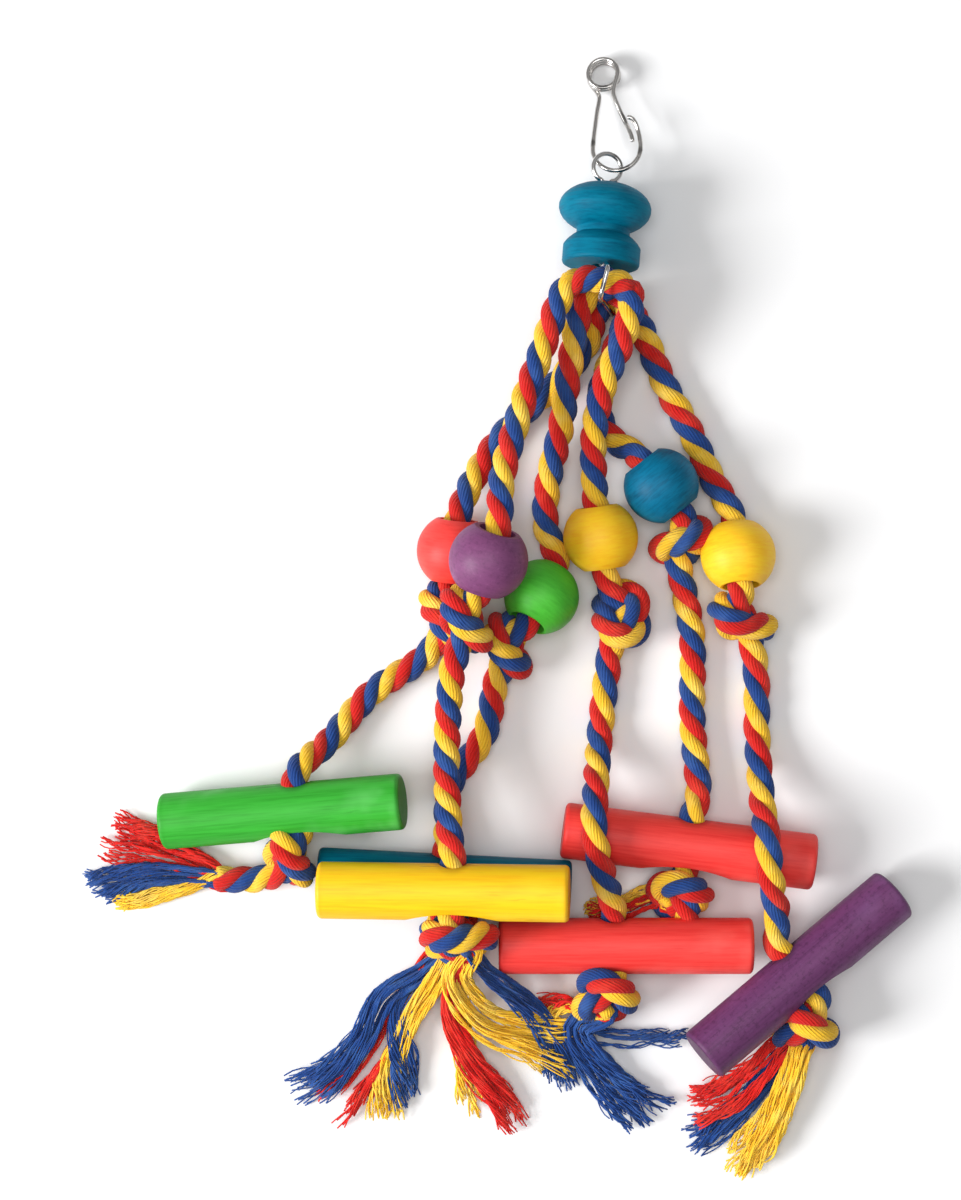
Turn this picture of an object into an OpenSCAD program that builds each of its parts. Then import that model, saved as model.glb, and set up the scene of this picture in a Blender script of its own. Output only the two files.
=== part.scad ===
// Hanging bird toy of rope and wood, lying flat as it is photographed from above.
// Three ropes are folded at their middles through a wire loop under a turned cap. That makes
// six legs, and each leg carries a bead above a knot and a cross-drilled block above a second
// knot, and ends in a frayed tassel. A snap hook hangs in the eye of the same wire.
// X is to the right, Y points to the hook, Z is up from the table that everything lies on.

/* [Blocks] */
// Diameter of the dowel that the blocks are cut from
block_d = 19; // [18:0.25:19.5]
// Length of a block
block_l = 86; // [80:1:88]
// Rounding of a block's ends
block_round = 1.6; // [0.6:0.2:3]
// Depth of the hollow that seats the knot under a block
seat_depth = 2.4; // [1:0.2:3]
// Width of that hollow along the block
seat_w = 32; // [24:1:38]
// Play between the rope and the hole through a block
hole_play = 0.3; // [0.2:0.1:0.8]

/* [Beads] */
// Diameter of a bead
bead_d = 25.4; // [24:0.2:26]
// How much wider the purple bead is than the others
purple_extra = 1; // [0:0.2:1.4]
// Length of a bead along its bore
bead_l = 21.2; // [19:0.2:22]
// Play between the rope and a bead's bore
bead_play = 1.6; // [1:0.1:2]

/* [Cap] */
// Diameter of the cap's dome
dome_d = 31.3; // [29:0.1:33]
// Height of the dome's ellipse
dome_h = 17.6; // [15:0.2:19]
// Diameter of the neck between the dome and the base
neck_d = 18; // [14:0.5:20]
// Diameter of the cap's base
base_d = 26.2; // [24:0.2:28]
// Height of the base up to the neck
base_h = 10.4; // [9:0.2:12]
// Height from the base's face to the widest part of the dome
dome_mid = 19.8; // [19.4:0.1:21]
// Bore through the cap
cap_bore = 5.4; // [5:0.1:7]

/* [Rope] */
// Diameter of the rope
rope_d = 9.3; // [8.6:0.1:9.4]

/* [Wire] */
// Diameter of the hanging wire
wire_d = 1.6; // [1.4:0.1:1.8]
// Radius of the eye, to the middle of the wire
eye_r = 4.95; // [4.8:0.05:5.2]

/* [Snap hook] */
// Diameter of the hook's spring wire
hook_d = 1.6; // [1.4:0.1:1.7]
// Radius of the hook's round end, to the middle of the wire
bow_r = 8.1; // [8:0.05:8.5]
// Radius of the spring coil, to the middle of the wire
coil_r = 5.1; // [4.6:0.1:5.6]
// Height from the middle of the round end to the middle of the coil
coil_up = 27; // [25:0.5:30]

/* [Hidden] */

// Fineness of round parts, and room cut past a face so that a cut goes right through
round_fn = 64;
cut = 1;
// Least room between pieces that lie against each other
rest_gap = 0.3;

RED = "#e0242a";
GREEN = "#3fae35";
YELLOW = "#ffe02a";
TEAL = "#0c7f98";
PURPLE = "#7d4a80";

// Blocks: each is [name, middle, turn in the table's plane, rise of the right end,
// place of the hole from the middle, 1 where the hollow for the knot shows, how much shorter it
// was sawn, colour].
// Heights follow the dowel: most lie on the table, the lower red one on rope ends, the yellow
// one on the teal one. The green one leans on its left end, and the purple one on its right.
green_rise = 8.5;
yellow_rise = 4;
table_z = block_d / 2;
row_gap = 0.4;
row_y = -107.2;
teal_x = -31;
teal_turn = -3;
upper_turn = -7.3;
purple_turn = 39;
purple_rise = -9;
ends_lift = 2.5;
teal_end_x = teal_x + block_l / 2;
upper_x = teal_end_x - 3 + block_l / 2;
upper_y = row_y - block_l / 2 * sin(-teal_turn) + block_d + row_gap - (block_l / 2 - 3) * sin(-upper_turn);
lower_x = 30.5;
lower_y = row_y - block_l / 2 * sin(-teal_turn) - sqrt(pow(block_d + row_gap, 2) - pow(ends_lift, 2));
purple_z = table_z + block_l / 2 * sin(-purple_rise);
purple_mid = [lower_x + block_l / 2, lower_y - block_d / 2]
    + 12.2 * [cos(purple_turn), sin(purple_turn)]
    - (block_d / 2 - 0.2) * [-sin(purple_turn), cos(purple_turn)];
green_z = table_z + (block_l - 3) / 2 * sin(green_rise);
yellow_z = table_z + block_d + rest_gap + 42 * sin(yellow_rise);
BLOCKS = [
    ["block_green", [-85.5, -83, green_z], 5.3, green_rise, 5.5, 1, 3, GREEN],
    ["block_yellow", [-31, row_y - 1.5, yellow_z], -0.5, yellow_rise, 3, 1, 2, YELLOW],
    ["block_teal", [teal_x, row_y, table_z], teal_turn, 0, 0, 1, 0, TEAL],
    ["block_upper_red", [upper_x, upper_y, table_z], upper_turn, 0, 0, 1, 0, RED],
    ["block_lower_red", [lower_x, lower_y, table_z + ends_lift], 0, 0, -4, 0, 0, RED],
    ["block_purple", [purple_mid.x, purple_mid.y, purple_z], purple_turn, purple_rise, 0, 1, 0, PURPLE]
];

// Beads: each is [name, middle, turn of the bore from straight down, rise of its lower end,
// diameter, colour]. The purple bead lies on the red one, the rest on the table.
purple_d = bead_d + purple_extra;
red_xy = [-27.5, 5];
purple_xy = [-16, 1.5];
stack_l = (bead_d + purple_d) / 2 + 2 * rest_gap;
purple_up = bead_d / 2 + sqrt(pow(stack_l, 2) - pow(norm(purple_xy - red_xy), 2));
BEADS = [
    ["bead_red", [red_xy.x, red_xy.y, bead_d / 2], -6, -6, bead_d, RED],
    ["bead_purple", [purple_xy.x, purple_xy.y, purple_up], -17, -14, purple_d, PURPLE],
    ["bead_green", [2, -10.5, bead_d / 2], -29, 20, bead_d, GREEN],
    ["bead_yellow_left", [22, 9.5, bead_d / 2], 8, -3, bead_d, YELLOW],
    ["bead_teal", [42.5, 27, bead_d / 2], 38, 0, bead_d, TEAL],
    ["bead_yellow_right", [68.5, 3.5, bead_d / 2], 4, 14, bead_d, YELLOW]
];

// The cap lies on the widest part of its dome, with its rope end raised
cap_tilt = 8;
cap_lean = 5;
cap_l = dome_mid + dome_h / 2;
dome_z = sqrt(pow(dome_d / 2 * cos(cap_tilt), 2) + pow(dome_h / 2 * sin(cap_tilt), 2));
cap_up = [sin(cap_lean) * cos(cap_tilt), cos(cap_lean) * cos(cap_tilt), -sin(cap_tilt)];
cap_side = [cos(cap_lean), -sin(cap_lean), 0];
cap_under = cross(cap_up, cap_side);
cap_at = [23.4, 120.4, dome_z] - dome_mid * cap_up;

// The hook lies with its coil on the table and its round end through the eye
hook_tilt = 15;
hook_roll = 8;

// Where the three ropes fold, one over the other
fold_front = [21.9, 94.6, 26.2];
fold_middle = [23, 93.2, 16.6];
fold_back = [25.4, 91.6, 7];

// Route of each leg from its fold: down to the bead, from the bead to the block, and the last
// knot. The stretches inside beads and blocks follow from those pieces.
front_left = [
    [[15.2, 97, 26], [8.6, 90.8, 26], [2.5, 73.5, 26], [-5, 52.5, 28], [-11.5, 29, 33.5]],
    [[-23.5, -19.5, 27.5], [-28, -34.5, 24], [-30, -63.5, 21], [-29, -88.5, 28.5]],
    [-25, -124, 31]
];
front_right = [
    [[27.8, 96, 26], [32, 89.3, 26], [29, 75.5, 23], [22.5, 59.5, 18.5], [19.5, 42.5, 15.5],
        [20, 26, 13.5]],
    [[28, -16.5, 10.5], [25, -32.5, 5], [22, -57.5, 5], [20, -77, 19], [19.5, -90.5, 25],
        [23, -105, 19.5]],
    [25.5, -146.4, 11.5]
];
middle_left = [
    [[16.8, 92.6, 16.7], [14.2, 83.5, 16], [10.8, 62.5, 15.5], [8.5, 46, 11.5], [4.5, 29, 6], [3.5, 14, 5]],
    [[-9.5, -27, 12], [-13.5, -40, 5], [-17.5, -58, 5], [-29, -74.5, 5], [-30, -88, 6]],
    [-30.5, -125, 10.5]
];
middle_right = [
    [[29.3, 92.8, 16.4], [31.6, 86, 15.3], [28, 76, 11], [22, 58, 5], [24, 45.5, 5], [33, 38.5, 8.5]],
    [[48, 8.5, 10], [50, -5, 5], [53.5, -25, 5], [53.5, -52.5, 5], [55.5, -77, 7]],
    [47, -111.5, 9.5]
];
back_left = [
    [[20.2, 87.6, 6], [18.3, 77, 5], [9, 64, 5], [-5, 51, 5], [-17, 36.5, 5.5]],
    [[-30, -16.5, 10.5], [-36.5, -30, 5.5], [-55.5, -43, 5], [-70, -59.5, 8]],
    [-82.5, -99, 14]
];
back_right = [
    [[31.2, 88.8, 5.2], [36, 81.5, 5], [44, 62, 5], [52.5, 46.5, 5], [60, 30, 6]],
    [[70, -18, 12], [75, -34, 5], [75.5, -57.5, 5], [76.5, -80, 14.5], [77.5, -92.5, 25.2],
        [78.5, -104, 25], [81.5, -118.5, 18]],
    [93.2, -157, 10.5]
];

// Knots: [middle, half sizes, turn in the table's plane]
KNOTS_FRONT = [
    [[-23, -19, 27.8], [9, 8, 8], -17], [[28.2, -16.3, 10], [9.5, 8.5, 9], 8],
    [[-25.5, -124, 30.5], [12.5, 7.4, 9], 0], [[22.5, -146.4, 10.5], [12, 7.5, 9], 0]
];
KNOTS_MIDDLE = [
    [[-9.2, -28.4, 11.5], [11, 7.5, 8.5], -20], [[47.3, 7.5, 10.5], [8.2, 5, 9], 0],
    [[-30.5, -125, 10], [10, 7.4, 9], -3], [[47, -111.5, 9], [12, 5.4, 8.5], -7]
];
KNOTS_BACK = [
    [[-30, -16.5, 10], [9.2, 8.8, 9], 0], [[70, -18.5, 11], [11.2, 7.2, 9], 0],
    [[-83.6, -99, 13], [8.4, 7, 9], 5], [[93.7, -156.6, 10.5], [11, 7.2, 9], 39]
];

// Frayed ends: [points along the bundle of yarns, radius at each point]
TUFTS_FRONT = [
    [[[-23.5, -128.5, 27], [-21, -143.5, 14], [-12, -157, 7], [3.5, -165, 4.5], [16, -169.5, 3]],
        [4, 4.5, 4.2, 3.4, 2]],
    [[[-26, -130.5, 25], [-24, -149, 10], [-18, -165.5, 5], [-8.5, -179.5, 3.5], [-1.5, -191, 2.5]],
        [4, 4.5, 4.6, 3.2, 2]],
    [[[-21.5, -128.5, 27], [-16.5, -143, 14], [-3, -154.5, 7], [9, -172, 3]], [4, 4.5, 4, 2]],
    [[[18.5, -149, 9], [16, -159.5, 6], [22, -172.5, 5], [34, -190.5, 3]], [4.5, 4.5, 4, 2.4]],
    [[[18.5, -149, 8], [11, -151, 5], [4.5, -155, 3]], [3.5, 3.5, 2.4]]
];
TUFTS_MIDDLE = [
    [[[-32.5, -128.5, 9], [-37.5, -139, 6], [-51, -148.5, 5], [-58, -163, 4.5], [-68, -173.5, 4],
        [-81, -180.5, 2.5]], [4, 4.5, 4, 3.8, 3, 2]],
    [[[-33, -130.5, 8], [-38.5, -147.5, 6], [-48, -163.5, 4], [-49, -190, 2.5]], [4, 4.2, 3.6, 2]],
    [[[-37.5, -139.5, 5], [-45.5, -153, 5], [-45.5, -168.5, 4], [-42, -185.5, 2.5]], [3.5, 3.6, 3, 2]],
    [[[41, -112.5, 5], [28, -117, 3.4], [17, -117.5, 2.6]], [3.4, 3, 2]]
];
TUFTS_BACK = [
    [[[-85, -101, 10], [-96.5, -107, 5], [-109, -104.5, 4.5], [-131.5, -105.5, 4], [-153.5, -110, 3]],
        [4.5, 4.6, 4, 3.4, 2.2]],
    [[[-97, -107, 5], [-109, -108.5, 4.6], [-124.5, -113, 4], [-142.5, -115.5, 2.5]], [4, 4.2, 3.4, 2]],
    [[[90, -162.5, 9], [85, -176.5, 6], [78.5, -192, 4.5], [65, -206, 3]], [4.5, 5, 4.2, 2.4]],
    [[[86.5, -163, 8], [78, -173, 6], [66.5, -183.5, 4.5], [53, -186.5, 3]], [4.2, 4.2, 4, 2.4]],
    [[[83.5, -168, 6], [74, -184, 3.4], [61.5, -194, 3], [50, -199.5, 2.5]], [3.4, 3.2, 2.8, 2]]
];

function unit(v) = v / norm(v);

// Directions along a route of points
function tangents(p) = [
    for (i = [0:len(p) - 1]) unit(p[min(i + 1, len(p) - 1)] - p[max(i - 1, 0)])
];

// Side directions carried along the route without twist
function sides_of(t) = [
    for (i = 0, n = unit(cross(t[0], abs(t[0].z) < 0.9 ? [0, 0, 1] : [1, 0, 0]));
        i < len(t);
        i = i + 1, n = i < len(t) ? unit(n - (n * t[i]) * t[i]) : n) n
];

// A smooth curve through points, with a number of steps between each two
function blend4(a, b, c, d, t) =
    (2 * b + (c - a) * t + (2 * a - 5 * b + 4 * c - d) * t * t + (3 * b - a - 3 * c + d) * t * t * t) / 2;
function curve(p, steps) = [
    for (i = [0:len(p) - 2], k = [0:steps - 1])
        blend4(p[max(i - 1, 0)], p[i], p[i + 1], p[min(i + 2, len(p) - 1)], k / steps),
    p[len(p) - 1]
];

// Rings of a round tube of radius r, a number or one for each point
function tube_rings(p, r, n) =
    let (t = tangents(p), s = sides_of(t))
    [for (i = [0:len(p) - 1])
        [for (k = [0:n - 1])
            p[i] + (is_list(r) ? r[i] : r)
                * (cos(360 * k / n) * s[i] + sin(360 * k / n) * cross(t[i], s[i]))]];

// Closed skin over rings of equally many points
module skin(rings) {
    n = len(rings[0]);
    last = len(rings) - 1;
    polyhedron(
        points = [for (ring = rings) for (p = ring) p],
        faces = concat(
            [[for (k = [0:n - 1]) k]],
            [[for (k = [n - 1:-1:0]) last * n + k]],
            [for (i = [0:last - 1], k = [0:n - 1]) [i * n + k, (i + 1) * n + k, (i + 1) * n + (k + 1) % n]],
            [for (i = [0:last - 1], k = [0:n - 1]) [i * n + k, (i + 1) * n + (k + 1) % n, i * n + (k + 1) % n]]
        ),
        convexity = 10
    );
}

module tube(p, r, n = 8) {
    skin(tube_rings(p, r, n));
}

// Rounded lump of a knot with half sizes h about its middle c, turned in the table's plane
module lump(c, h, turn, n = 12) {
    translate(c)
    rotate([0, 0, turn])
    skin([
        for (a = [-80:20:80])
            [for (k = [0:n - 1]) [h.x * cos(a) * cos(360 * k / n), h.y * cos(a) * sin(360 * k / n), h.z * sin(a)]]
    ]);
}

// A dowel block with rounded ends, a cross hole for the rope and a hollow that seats the knot
module block(b) {
    r = block_d / 2;
    end = (block_l - b[6]) / 2;
    arc = [for (a = [0:15:90]) [r - block_round + block_round * cos(a), end - block_round + block_round * sin(a)]];
    half_w = seat_w / 2;
    seat_r = (pow(half_w, 2) + pow(seat_depth, 2)) / (2 * seat_depth);
    color(b[7])
    translate(b[1])
    rotate([0, -b[3], b[2]])
    difference() {
        rotate([0, 90, 0])
            rotate_extrude($fn = round_fn)
                polygon(concat([[0, end]], [for (i = [len(arc) - 1:-1:0]) arc[i]],
                    [for (p = arc) [p.x, -p.y]], [[0, -end]]));
        translate([b[4], 0, 0])
            rotate([90, 0, 0])
                cylinder(d = rope_d + 2 * hole_play, h = block_d + 2 * cut, center = true, $fn = round_fn);
        if (b[5] == 1)
            translate([b[4], -(r - seat_depth + seat_r), 0])
                cylinder(r = seat_r, h = block_d + 2 * cut, center = true, $fn = 2 * round_fn);
    }
}

// A ball bead cut flat at both ends of its bore
module bead(b) {
    bore = rope_d + 2 * bead_play;
    color(b[5])
    translate(b[1])
    rotate([90 - b[3], 0, b[2]])
    difference() {
        intersection() {
            sphere(d = b[4], $fn = round_fn);
            cube([b[4] + 2 * cut, b[4] + 2 * cut, bead_l], center = true);
        }
        cylinder(d = bore, h = bead_l + 2 * cut, center = true, $fn = round_fn);
    }
}

// The turned cap: base, neck and dome in one piece, bored along its axis
module cap() {
    edge = 1;
    shoulder = base_d / 2 - neck_d / 2;
    dome_low = -asin(sqrt(1 - pow(neck_d / dome_d, 2)));
    color(TEAL)
    multmatrix([
        [cap_side.x, cap_under.x, cap_up.x, cap_at.x],
        [cap_side.y, cap_under.y, cap_up.y, cap_at.y],
        [cap_side.z, cap_under.z, cap_up.z, cap_at.z],
        [0, 0, 0, 1]
    ])
    difference() {
        rotate_extrude($fn = round_fn)
            polygon(concat(
                [[0, 0], [base_d / 2 - edge, 0], [base_d / 2 - 0.3 * edge, 0.3 * edge], [base_d / 2, edge]],
                [for (a = [0:15:90])
                    [neck_d / 2 + shoulder * pow(cos(a), 1.6), base_h - shoulder + shoulder * pow(sin(a), 1.6)]],
                [for (a = [dome_low:10:90]) [dome_d / 2 * cos(a), dome_mid + dome_h / 2 * sin(a)]],
                [[0, cap_l]]
            ));
        translate([0, 0, -cut])
            cylinder(d = cap_bore, h = cap_l + 2 * cut, $fn = round_fn);
    }
}

// A point given from the middle of the cap's base face: to the side, under, and up its axis
function from_cap(p) = cap_at + p.x * cap_side + p.y * cap_under + p.z * cap_up;

// The hanging wire: an eye above the cap, two legs through its bore, and a long loop round the folds
eye_turn = 16;
eye_stand = 0.5;
leg_off = 0.95;
eye_mid = cap_l + eye_stand + eye_r;
eye_aside = [-0.4, 0.4];
eye_at = from_cap([eye_aside.x, eye_aside.y, eye_mid]);
fold_off = rope_d / 2 + rest_gap + wire_d / 2;
face_off = rest_gap + wire_d / 2 + 0.05;
leg_turns = [for (k = [0:5]) k / 5];
function leg_point(side, k) =
    let (a = eye_turn + (90 - eye_turn) * k)
    from_cap([side * leg_off * cos(a), side * leg_off * sin(a), (cap_l - 3) * (1 - k)]);
eye_points = [
    for (a = [-72:20.25:252])
        from_cap([eye_aside.x + eye_r * cos(a) * cos(eye_turn), eye_aside.y + eye_r * cos(a) * sin(eye_turn),
            eye_mid + eye_r * sin(a)])
];
loop_points = [
    from_cap([0, -leg_off, 1]),
    from_cap([0.2, -1.7, -1.3]),
    from_cap([1.3, -9, -face_off - 0.2]),
    [23.6, fold_front.y + 4.4, fold_front.z + fold_off - 0.2],
    [22.6, fold_front.y, fold_front.z + fold_off + 0.1],
    [21.6, fold_front.y - 4, fold_front.z + fold_off - 0.4],
    [21.4, fold_front.y - fold_off - 0.3, fold_front.z + 2.5],
    [22.4, fold_front.y - fold_off - 0.4, fold_front.z - 2.5],
    [24, fold_middle.y - fold_off - 0.4, fold_middle.z],
    [25.8, fold_back.y - fold_off - 0.5, fold_back.z + 2.5],
    [25.6, fold_back.y - fold_off - 0.2, fold_back.z - 2.8],
    [25, fold_back.y - 3.4, fold_back.z - fold_off + 0.3],
    [24, fold_back.y + 2.4, fold_back.z - fold_off],
    from_cap([0, 15, -face_off - 0.6]),
    from_cap([0, 9, -face_off - 0.2]),
    from_cap([0, 1.7, -1.3]),
    from_cap([0, leg_off, 1])
];
module hanging_wire() {
    up_leg = [for (k = [3:-1:0]) leg_point(1, k / 5)];
    down_leg = [for (k = [0:4]) leg_point(-1, k / 5)];
    back_leg = [leg_point(1, 4.6 / 5), leg_point(1, 4 / 5), leg_point(1, 3.4 / 5)];
    color("silver")
    tube(concat(curve(concat(up_leg, eye_points, down_leg), 2), curve(loop_points, 3), back_leg), wire_d / 2);
}

// The snap hook: one spring wire that runs from its catch round the bow, up to the coil and back
// down as the gate, whose end springs against the catch from inside
coil_turns = 2.65;
coil_pitch = hook_d + 0.15;
coil_x = -4.25;
coil_from = 222;
coil_half = coil_turns * coil_pitch / 2;
hook_xy = [eye_at.x + 3.24, eye_at.y + bow_r - 1.2];
bow_points = [for (a = [0:-18:-180]) [bow_r * cos(a), bow_r * sin(a), 0]];
coil_points = [
    for (k = [0:2.5 * 18])
        let (a = coil_from - coil_turns * 360 * k / 45)
        [coil_x + coil_r * cos(a), coil_up + coil_r * sin(a), -coil_half + 2 * coil_half * k / 45]
];
catch_points = [
    [4, 10.2, 2.1], [5.4, 9.8, 1.8], [6.6, 8.2, 0.8], [7.4, 5.6, 0], [7.9, 2.8, 0]
];
leg_points = [
    [-bow_r + 0.5, 6, -0.2], [-6.6, 14, -0.7], [-5.9, 19, -1.3], [-6.6, coil_up - coil_r - 0.6, -1.9]
];
gate_points = [
    [-0.7, coil_up - 6.5, 2], [-0.3, coil_up - 9.5, 1.8], [1.4, 13, 1], [3.4, 8.4, 0.2], [4.9, 4.5, 0],
    [5.4, 2.2, 0]
];
hook_path = concat(
    curve(catch_points, 2),
    bow_points,
    curve(leg_points, 2),
    coil_points,
    curve(gate_points, 2)
);
function lean(p) =
    let (a = [p.x * cos(hook_roll) - p.z * sin(hook_roll), p.y, p.x * sin(hook_roll) + p.z * cos(hook_roll)])
    [a.x, a.y * cos(hook_tilt) + a.z * sin(hook_tilt), -a.y * sin(hook_tilt) + a.z * cos(hook_tilt)];
leant_hook = [for (p = hook_path) lean(p)];
hook_z = hook_d / 2 + 0.1 - min([for (p = leant_hook) p.z]);
module snap_hook() {
    color("silver")
    tube([for (p = leant_hook) [hook_xy.x, hook_xy.y, hook_z] + p], hook_d / 2);
}

// Ropes. A row is found by its name, and a point is taken along a bead's bore, where the rope
// lies on the low side, or along a block's hole.
function row(rows, name) = [for (r = rows) if (r[0] == name) r][0];
bead_sag = bead_play - 2 * rest_gap;
function in_bead(name, t) =
    let (b = row(BEADS, name))
    b[1] - [0, 0, bead_sag] + t * [sin(b[2]) * cos(b[3]), -cos(b[2]) * cos(b[3]), sin(b[3])];
function in_block(name, t) =
    let (b = row(BLOCKS, name))
    b[1] + b[4] * [cos(b[2]) * cos(b[3]), sin(b[2]) * cos(b[3]), sin(b[3])] + t * [sin(b[2]), -cos(b[2]), 0];
bead_reach = bead_l / 2 + 0.9;
function leg(way, bead, block) = concat(
    way[0],
    [in_bead(bead, -bead_reach), in_bead(bead, bead_reach)],
    way[1],
    [in_block(block, -block_d / 2 - 2), in_block(block, block_d / 2 - 0.5)],
    [way[2]]
);
function backwards(p) = [for (i = [len(p) - 1:-1:0]) p[i]];

module rope(left, fold, right, knots, tufts) {
    color("#d8482c")
    tube(concat(backwards(left), [fold], right), rope_d / 2, 10);
    color("#f2c230")
    for (k = knots) lump(k[0], k[1], k[2]);
    color("#2b4fa2")
    for (t = tufts) tube(t[0], t[1]);
}

module rope_front() {
    rope(leg(front_left, "bead_purple", "block_yellow"), fold_front,
        leg(front_right, "bead_yellow_left", "block_lower_red"), KNOTS_FRONT, TUFTS_FRONT);
}

module rope_middle() {
    rope(leg(middle_left, "bead_green", "block_teal"), fold_middle,
        leg(middle_right, "bead_teal", "block_upper_red"), KNOTS_MIDDLE, TUFTS_MIDDLE);
}

module rope_back() {
    rope(leg(back_left, "bead_red", "block_green"), fold_back,
        leg(back_right, "bead_yellow_right", "block_purple"), KNOTS_BACK, TUFTS_BACK);
}

snap_hook();
hanging_wire();
cap();
for (b = BEADS) bead(b);
for (b = BLOCKS) block(b);
rope_front();
rope_middle();
rope_back();
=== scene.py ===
"""Hanging bird toy of rope and wood, lying on a pale table and seen from straight above.

The wooden pieces and the metal wires stand where the solid model has them. The three ropes are
laid here strand by strand, with real overhand knots and frayed ends, along the routes of their
solids. Lengths are written in millimetres and turned into metres where a mesh is made.
"""
import math

import bpy
import numpy as np
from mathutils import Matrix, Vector


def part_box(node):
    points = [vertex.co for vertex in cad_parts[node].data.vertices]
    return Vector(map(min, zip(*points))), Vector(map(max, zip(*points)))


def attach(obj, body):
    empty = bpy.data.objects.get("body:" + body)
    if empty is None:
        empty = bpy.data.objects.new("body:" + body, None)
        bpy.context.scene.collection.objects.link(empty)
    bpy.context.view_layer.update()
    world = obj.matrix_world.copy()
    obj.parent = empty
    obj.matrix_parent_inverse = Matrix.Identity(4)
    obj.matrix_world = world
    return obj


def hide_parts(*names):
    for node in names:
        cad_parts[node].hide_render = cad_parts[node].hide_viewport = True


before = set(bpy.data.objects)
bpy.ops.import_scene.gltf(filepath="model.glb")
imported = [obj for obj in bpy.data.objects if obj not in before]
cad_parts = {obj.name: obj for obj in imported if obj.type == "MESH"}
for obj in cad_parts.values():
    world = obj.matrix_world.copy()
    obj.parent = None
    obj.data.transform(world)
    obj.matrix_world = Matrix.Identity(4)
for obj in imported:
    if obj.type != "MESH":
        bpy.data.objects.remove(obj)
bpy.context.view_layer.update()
MM = 0.001

# The camera looks straight down from where the photographer stood, and takes in the same table.
CAMERA_AT = (-0.01864, -0.01163, 1.15)
SEEN_HEIGHT = 0.4104
SENSOR = 36
camera_data = bpy.data.cameras.new("camera")
camera_data.sensor_width = SENSOR
camera_data.lens = SENSOR * CAMERA_AT[2] / SEEN_HEIGHT
camera = bpy.data.objects.new("camera", camera_data)
camera.location = CAMERA_AT
bpy.context.scene.collection.objects.link(camera)
bpy.context.scene.camera = camera


# Shapes

def unit(v):
    """Each row of v divided by its length."""
    return v / np.maximum(np.linalg.norm(v, axis=-1, keepdims=True), 1e-12)


def reached(path):
    """How far along a path each of its points is."""
    return np.r_[0, np.cumsum(np.linalg.norm(np.diff(path, axis=0), axis=1))]


def at_lengths(path, s, u):
    """Points of a path, whose own points are s along, at the lengths u."""
    return np.stack([np.interp(u, s, path[:, k]) for k in range(3)], axis=-1)


def along(path, spacing):
    """The path's points moved to equal steps of about the given spacing along its length."""
    s = reached(path)
    return at_lengths(path, s, np.linspace(0, s[-1], max(4, int(round(s[-1] / spacing)) + 1)))


def flowing(points, spacing=1.0):
    """A smooth curve through given points: Catmull-Rom cubics, then equal steps."""
    p = np.asarray(points, float)
    p = np.vstack([2 * p[0] - p[1], p, 2 * p[-1] - p[-2]])
    t = np.linspace(0, 1, 24, endpoint=False)[None, :, None]
    a, b, c, d = (p[k:len(p) - 3 + k, None] for k in range(4))
    q = 2 * b + (c - a) * t + (2 * a - 5 * b + 4 * c - d) * t**2 + (3 * b - a - 3 * c + d) * t**3
    q = 0.5 * q
    return along(np.vstack([q.reshape(-1, 3), p[-2]]), spacing)


def eased(path, rounds):
    """The path with every inner point drawn halfway to the middle of its neighbours, some rounds."""
    p = path.copy()
    for _ in range(rounds):
        p[1:-1] = 0.5 * p[1:-1] + 0.25 * (p[:-2] + p[2:])
    return p


def carried(path):
    """Unit tangents of a path, and two side directions carried along it without twist."""
    t = unit(np.gradient(path, axis=0))
    n = np.empty_like(t)
    first = np.cross(t[0], [0, 0, 1] if abs(t[0, 2]) < 0.9 else [1, 0, 0])
    n[0] = unit(first)
    for i in range(1, len(t)):
        v = n[i - 1] - (n[i - 1] @ t[i]) * t[i]
        n[i] = v / math.sqrt(v @ v)
    return t, n, np.cross(t, n)


def tube_faces(m, sides):
    """Faces of a tube of m rings whose two end points come after the rings' own points.

    Gives the grid's ring and side numbers, four-sided faces, and the three-sided ones of each end."""
    i, k = np.meshgrid(np.arange(m - 1), np.arange(sides), indexing="ij")
    k1 = (k + 1) % sides
    quads = np.stack([i * sides + k, i * sides + k1, (i + 1) * sides + k1, (i + 1) * sides + k], -1)
    quads = quads.reshape(-1, 4)
    j = np.arange(sides)
    j1 = (j + 1) % sides
    low = np.stack([np.full(sides, m * sides), j1, j], -1)
    high = np.stack([np.full(sides, m * sides + 1), (m - 1) * sides + j, (m - 1) * sides + j1], -1)
    return i, k, quads, np.vstack([low, high])


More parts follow.
